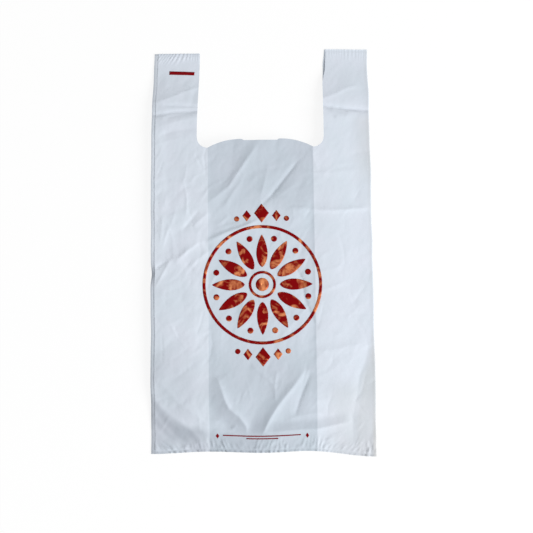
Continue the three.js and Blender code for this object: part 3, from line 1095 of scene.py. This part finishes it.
class Print:
    """Thin shapes laid on the film, gathered into one mesh; their sizes are millimetres on the flat bag."""

    LIFT = 0.16 * MM
    THICKNESS = 0.05 * MM
    RAY_START = 100.0 * MM
    PETAL_ROWS = 37
    PETAL_COLUMNS = 13
    PETAL_TIP = 0.15
    PETAL_POWER = 0.8
    RING_PARTS = 320
    DISC_PARTS = 32
    DISC_HOLE = 0.05
    LOZENGE_POINTS = 9
    BAR_STEP = 1.5
    NARROW_POINTS = 4

    def __init__(self, surface):
        self.surface = surface
        self.points = []
        self.faces = []

    def add_grid(self, x, y, closed=False):
        """A grid of points on the flat bag, dropped onto the film; closed grids run round in rows."""
        rows, columns = x.shape
        start = len(self.points)
        for spot in to_row(x, y, np.full(x.shape, LOFT)).reshape(-1, 3):
            above = Vector((spot[0], spot[1], self.RAY_START))
            hit = self.surface.ray_cast(above, Vector((0, 0, -1)))[0]
            self.points.append((spot[0], spot[1], hit.z + self.LIFT))
        for r in range(rows if closed else rows - 1):
            this_row = start + r * columns
            next_row = start + (r + 1) % rows * columns
            for c in range(columns - 1):
                self.faces.append((this_row + c, this_row + c + 1, next_row + c + 1, next_row + c))

    def petal(self, centre, angle, inner, outer, width):
        """A leaf shape pointing away from a centre."""
        s = np.linspace(0.0, 1.0, self.PETAL_ROWS)[:, None]
        t = np.linspace(1.0, -1.0, self.PETAL_COLUMNS)[None, :]
        r = inner + s * (outer - inner)
        bow = np.sin(math.pi * s**self.PETAL_POWER) ** self.PETAL_POWER
        w = t * (self.PETAL_TIP + width / 2 * bow)
        x = centre[0] + r * math.cos(angle) - w * math.sin(angle)
        y = centre[1] + r * math.sin(angle) + w * math.cos(angle)
        self.add_grid(x, y)

    def ring(self, centre, inner, outer, parts=RING_PARTS):
        """A flat ring between two radii."""
        a = np.arange(parts)[:, None] * 2 * math.pi / parts
        r = np.linspace(inner, outer, self.NARROW_POINTS)[None, :]
        self.add_grid(centre[0] + r * np.cos(a), centre[1] + r * np.sin(a), closed=True)

    def disc(self, centre, radius):
        """A round dot, as a ring with a hole too small to see."""
        self.ring(centre, self.DISC_HOLE, radius, self.DISC_PARTS)

    def lozenge(self, centre, width, height):
        """A lozenge that stands on one of its corners."""
        u = np.linspace(0.0, 1.0, self.LOZENGE_POINTS)[:, None]
        v = np.linspace(0.0, 1.0, self.LOZENGE_POINTS)[None, :]
        self.add_grid(centre[0] + (v - u) * width / 2, centre[1] + (u + v - 1.0) * height / 2)

    def bar(self, centre, width, height, tilt=0.0):
        """A straight bar, turned by a tilt."""
        u = np.linspace(-width / 2, width / 2, max(3, round(width / self.BAR_STEP)))[None, :]
        v = np.linspace(-height / 2, height / 2, self.NARROW_POINTS)[:, None]
        x = centre[0] + u * math.cos(tilt) - v * math.sin(tilt)
        y = centre[1] + u * math.sin(tilt) + v * math.cos(tilt)
        self.add_grid(x, y)

    def finish(self, name, material):
        """Close the shapes with an underside and a rim, and add them to the scene."""
        count = len(self.points)
        low = [(x, y, z - self.THICKNESS) for x, y, z in self.points]
        under = [tuple(count + i for i in reversed(face)) for face in self.faces]
        edges = {(face[i - 1], face[i]) for face in self.faces for i in range(4)}
        rim = [(b, a, count + a, count + b) for a, b in sorted(edges) if (b, a) not in edges]
        piece = make_mesh(name, self.points + low, self.faces + under + rim)
        for polygon in piece.data.polygons[-len(rim):]:
            polygon.use_smooth = False
        piece.data.materials.append(material)
        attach(piece, "root")


def print_medallion(surface, material):
    """A rosette in a ring, between two pendants of lozenges."""
    shapes = Print(surface)
    x, y = MEDALLION_CENTRE
    shapes.disc(MEDALLION_CENTRE, HUB_RADIUS)
    shapes.ring(MEDALLION_CENTRE, *HUB_RING)
    turn = 2 * math.pi / PETAL_COUNT
    for i in range(PETAL_COUNT):
        angle = math.pi / 2 + i * turn
        shapes.petal(MEDALLION_CENTRE, angle, *PETAL_REACH, PETAL_WIDTH)
        between = angle + turn / 2
        dot = (x + DOT_CIRCLE * math.cos(between), y + DOT_CIRCLE * math.sin(between))
        shapes.disc(dot, DOT_RADIUS)
    shapes.ring(MEDALLION_CENTRE, *OUTER_RING)
    for way in (1, -1):
        shapes.lozenge((x, y + way * PENDANT_Y), *PENDANT_SIZE)
        for side in (1, -1):
            shapes.lozenge((x + side * SIDE_PENDANT[0], y + way * SIDE_PENDANT[1]), *SIDE_PENDANT_SIZE)
            shapes.disc((x + side * END_DOT[0], y + way * END_DOT[1]), END_DOT_RADIUS)
    shapes.finish("foil_medallion", material)


def print_rules(surface, material):
    """Thin rules between two small lozenges, near the bottom edge."""
    shapes = Print(surface)
    for centre, size in RULES:
        shapes.bar(centre, *size)
    for centre in RULE_ENDS:
        shapes.lozenge(centre, *RULE_END_SIZE)
    shapes.finish("foil_rules", material)


def print_eye_mark(surface, material):
    """A plain bar on the left handle."""
    shapes = Print(surface)
    shapes.bar(EYE_MARK_CENTRE, *EYE_MARK_SIZE, EYE_MARK_TILT)
    shapes.finish("eye_mark", material)


def film_surface(film):
    """The film's faces, for laying print on them."""
    points = [vertex.co for vertex in film.data.vertices]
    return BVHTree.FromPolygons(points, [tuple(face.vertices) for face in film.data.polygons])


def seen_rays(nodes, links):
    """1 for rays from the camera, straight or by way of a mirror or glass, and 0 for other light."""
    path = nodes.new("ShaderNodeLightPath")
    seen = path.outputs["Is Camera Ray"]
    for name in ("Is Glossy Ray", "Is Transmission Ray"):
        either = nodes.new("ShaderNodeMath")
        either.operation = "MAXIMUM"
        links.new(seen, either.inputs[0])
        links.new(path.outputs[name], either.inputs[1])
        seen = either.outputs[0]
    return seen


def pale_floor():
    """A white floor, part lit and part glowing to the camera, so that its shadows stay faint."""
    signs = [(-1, -1), (1, -1), (1, 1), (-1, 1)]
    corners = [(x * FLOOR_HALF, y * FLOOR_HALF, -FLOOR_DROP) for x, y in signs]
    floor = make_mesh("floor", corners, [(0, 1, 2, 3)])
    material, nodes, links = new_material("pale_floor")
    lit = nodes["Principled BSDF"]
    set_inputs(lit, FLOOR_FINISH)
    glow = nodes.new("ShaderNodeEmission")
    blend_shaders(nodes, links, seen_rays(nodes, links), FLOOR_GLOW, lit, glow)
    floor.data.materials.append(material)


def key_light():
    """One large soft lamp, low on the right."""
    lamp = bpy.data.lights.new("key", "AREA")
    lamp.shape = "SQUARE"
    lamp.size = KEY_SIZE
    lamp.energy = KEY_WATTS
    holder = add_object("key", lamp)
    across = math.cos(KEY_ELEVATION)
    towards = Vector((
        across * math.cos(KEY_AZIMUTH),
        across * math.sin(KEY_AZIMUTH),
        math.sin(KEY_ELEVATION),
    ))
    holder.location = KEY_DISTANCE * towards
    holder.rotation_euler = (-towards).to_track_quat("-Z", "Y").to_euler()


def white_world():
    """Even white light all round, which looks white itself."""
    world = bpy.data.worlds.new("studio")
    bpy.context.scene.world = world
    world.use_nodes = True
    nodes = world.node_tree.nodes
    links = world.node_tree.links
    background = nodes["Background"]
    background.inputs["Color"].default_value = WORLD_COLOUR
    level = nodes.new("ShaderNodeMapRange")
    set_inputs(level, {"To Min": WORLD_STRENGTH, "To Max": 1.0})
    links.new(seen_rays(nodes, links), level.inputs["Value"])
    links.new(level.outputs[0], background.inputs["Strength"])


def camera_above():
    """A camera above the bag, leaning back a little towards its bottom edge."""
    data = bpy.data.cameras.new("camera")
    data.lens = CAMERA_LENS
    data.sensor_width = SENSOR_WIDTH
    camera = add_object("camera", data)
    back = Vector((0, -math.sin(CAMERA_TILT), math.cos(CAMERA_TILT)))
    camera.location = CAMERA_AIM + CAMERA_DISTANCE * back
    turned = Matrix.Rotation(CAMERA_TILT, 3, "X") @ Matrix.Rotation(CAMERA_ROLL, 3, "Z")
    camera.rotation_euler = turned.to_euler()
    bpy.context.scene.camera = camera


film = build_film()
film.data.materials.append(film_material())
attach(film, "root")
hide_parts("carrier_bag")

surface = film_surface(film)
print_medallion(surface, foil_material())
ink = ink_material()
print_rules(surface, ink)
print_eye_mark(surface, ink)

pale_floor()
white_world()
key_light()
camera_above()
bpy.context.scene.view_settings.view_transform = "Standard"
